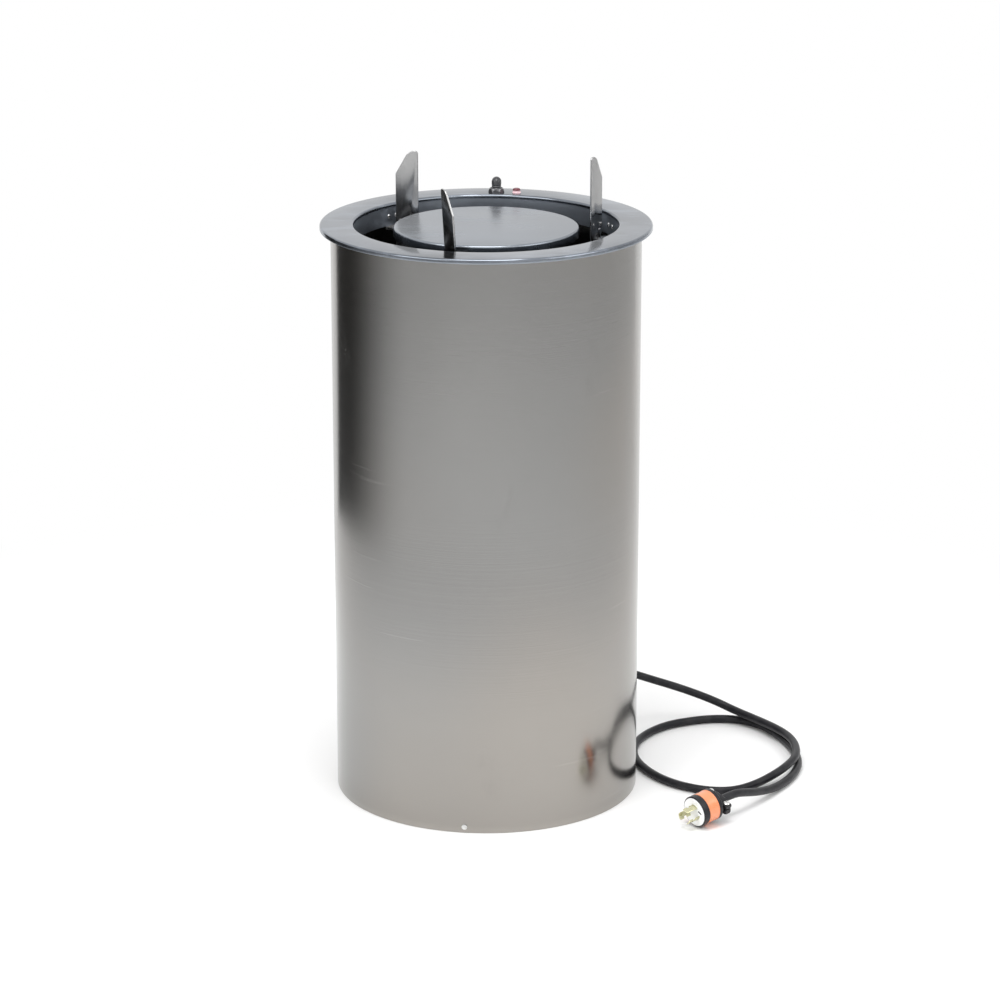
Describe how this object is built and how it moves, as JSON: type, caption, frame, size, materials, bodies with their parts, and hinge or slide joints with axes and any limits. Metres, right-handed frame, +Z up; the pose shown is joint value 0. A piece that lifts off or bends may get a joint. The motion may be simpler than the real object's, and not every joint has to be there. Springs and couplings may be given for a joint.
{
  "type": "drop-in heated plate dispenser",
  "caption": "Round counter drop-in plate dispenser: steel shell and flange, spring-borne carrier disc, turning plate guides, heater, toggle switch, lamp, cord and locking plug.",
  "frame": {"origin": "centre of the shell's bottom edge, on the floor", "axes": "+Z up along the shell's axis, -Y to the front that the picture shows, +X to its right"},
  "size_m": [0.648, 0.4416, 0.8475],
  "materials": {
    "outer_shell": "dull galvanised sheet, vertically streaked",
    "flange_steel": "fine satin stainless sheet",
    "guide_steel": "satin stainless blade with bright edges",
    "disc_steel": "satin stainless, fine scuffs",
    "bright_rod": "ground bright rod",
    "zinc_fasteners": "zinc plated",
    "spring_steel": "drawn spring wire",
    "aluminised_dish": "aluminised sheet",
    "element_sheath": "oxidised sheath",
    "ceramic": "glazed ceramic",
    "copper_capillary": "copper tube",
    "nylon": "white nylon",
    "black_plastic": "moulded phenolic",
    "black_rubber": "moulded rubber",
    "cord_jacket": "matt cord jacket",
    "plug_black": "moulded plug shell",
    "plug_orange": "bare orange band",
    "plug_brass": "bright brass",
    "lamp_red": "red lens"
  },
  "bodies": {
    "housing": {"outer_shell": "outer_shell", "base_pan": "outer_shell", "top_flange": "flange_steel", "guide_bracket_front": "flange_steel", "guide_bracket_right": "flange_steel", "guide_bracket_left": "flange_steel", "spring_hanger_front": "flange_steel", "spring_hanger_back": "flange_steel", "spring_hanger_left": "flange_steel", "reflector_legs": "flange_steel", "control_box": "flange_steel", "control_box_cover": "flange_steel", "heater_supports": "flange_steel", "carrier_rail_front": "bright_rod", "carrier_rail_back": "bright_rod", "carrier_rail_left": "bright_rod", "base_screws": "zinc_fasteners", "rail_nuts": "zinc_fasteners", "bracket_rivets": "zinc_fasteners", "cover_screws": "zinc_fasteners", "plug_screws": "zinc_fasteners", "switch_nut": "zinc_fasteners", "spring_pair_front": "spring_steel", "spring_pair_back": "spring_steel", "spring_pair_left": "spring_steel", "heater_reflector": "aluminised_dish", "heater_element": "element_sheath", "heater_insulators": "ceramic", "thermostat_bulb": "copper_capillary", "guide_feet": "nylon", "plug_face": "nylon", "terminal_block": "black_plastic", "thermostat": "black_plastic", "switch_body": "black_plastic", "lamp_body": "black_plastic", "strain_relief": "black_plastic", "strain_relief_nut": "black_plastic", "stop_rings": "black_rubber", "power_cord": "cord_jacket", "switch_harness": "cord_jacket", "heater_leads": "cord_jacket", "plug_body": "plug_black", "plug_clamp": "plug_black", "plug_band": "plug_orange", "plug_blades": "plug_brass", "lamp_lens": "lamp_red"},
    "carrier": {"plate_disc": "disc_steel", "disc_posts": "flange_steel", "carrier_nuts": "zinc_fasteners", "carrier_spider": "flange_steel", "rail_bushings": "nylon", "drop_leg_front": "flange_steel", "drop_leg_back": "flange_steel", "drop_leg_left": "flange_steel"},
    "guide_front_body": {"guide_front": "guide_steel"},
    "guide_right_body": {"guide_right": "guide_steel"},
    "guide_left_body": {"guide_left": "guide_steel"},
    "toggle": {"toggle_lever": "zinc_fasteners", "switch_boot": "black_rubber"}
  },
  "joints": [
    {"name": "carrier_slide", "type": "slide", "parent": "housing", "child": "carrier", "axis": [0, 0, 1], "range_m": [-0.52, 0], "stiffness_N_per_m": 650, "springref_m": 0.1, "deforming": ["spring_pair_front", "spring_pair_back", "spring_pair_left"]},
    {"name": "guide_front_turn", "type": "hinge", "parent": "housing", "child": "guide_front_body", "pos_m": [-0.04086, -0.15038, 0.7355], "axis": [0, 0, 1], "range_deg": [-40, 45]},
    {"name": "guide_right_turn", "type": "hinge", "parent": "housing", "child": "guide_right_body", "pos_m": [0.14752, 0.05021, 0.7355], "axis": [0, 0, 1], "range_deg": [-40, 45]},
    {"name": "guide_left_turn", "type": "hinge", "parent": "housing", "child": "guide_left_body", "pos_m": [-0.11265, 0.10767, 0.7355], "axis": [0, 0, 1], "range_deg": [-40, 45]},
    {"name": "toggle_throw", "type": "hinge", "parent": "housing", "child": "toggle", "pos_m": [0.01373, 0.187, 0.7705], "axis": [0.9973, -0.0732, 0], "range_deg": [0, 24]}
  ]
}
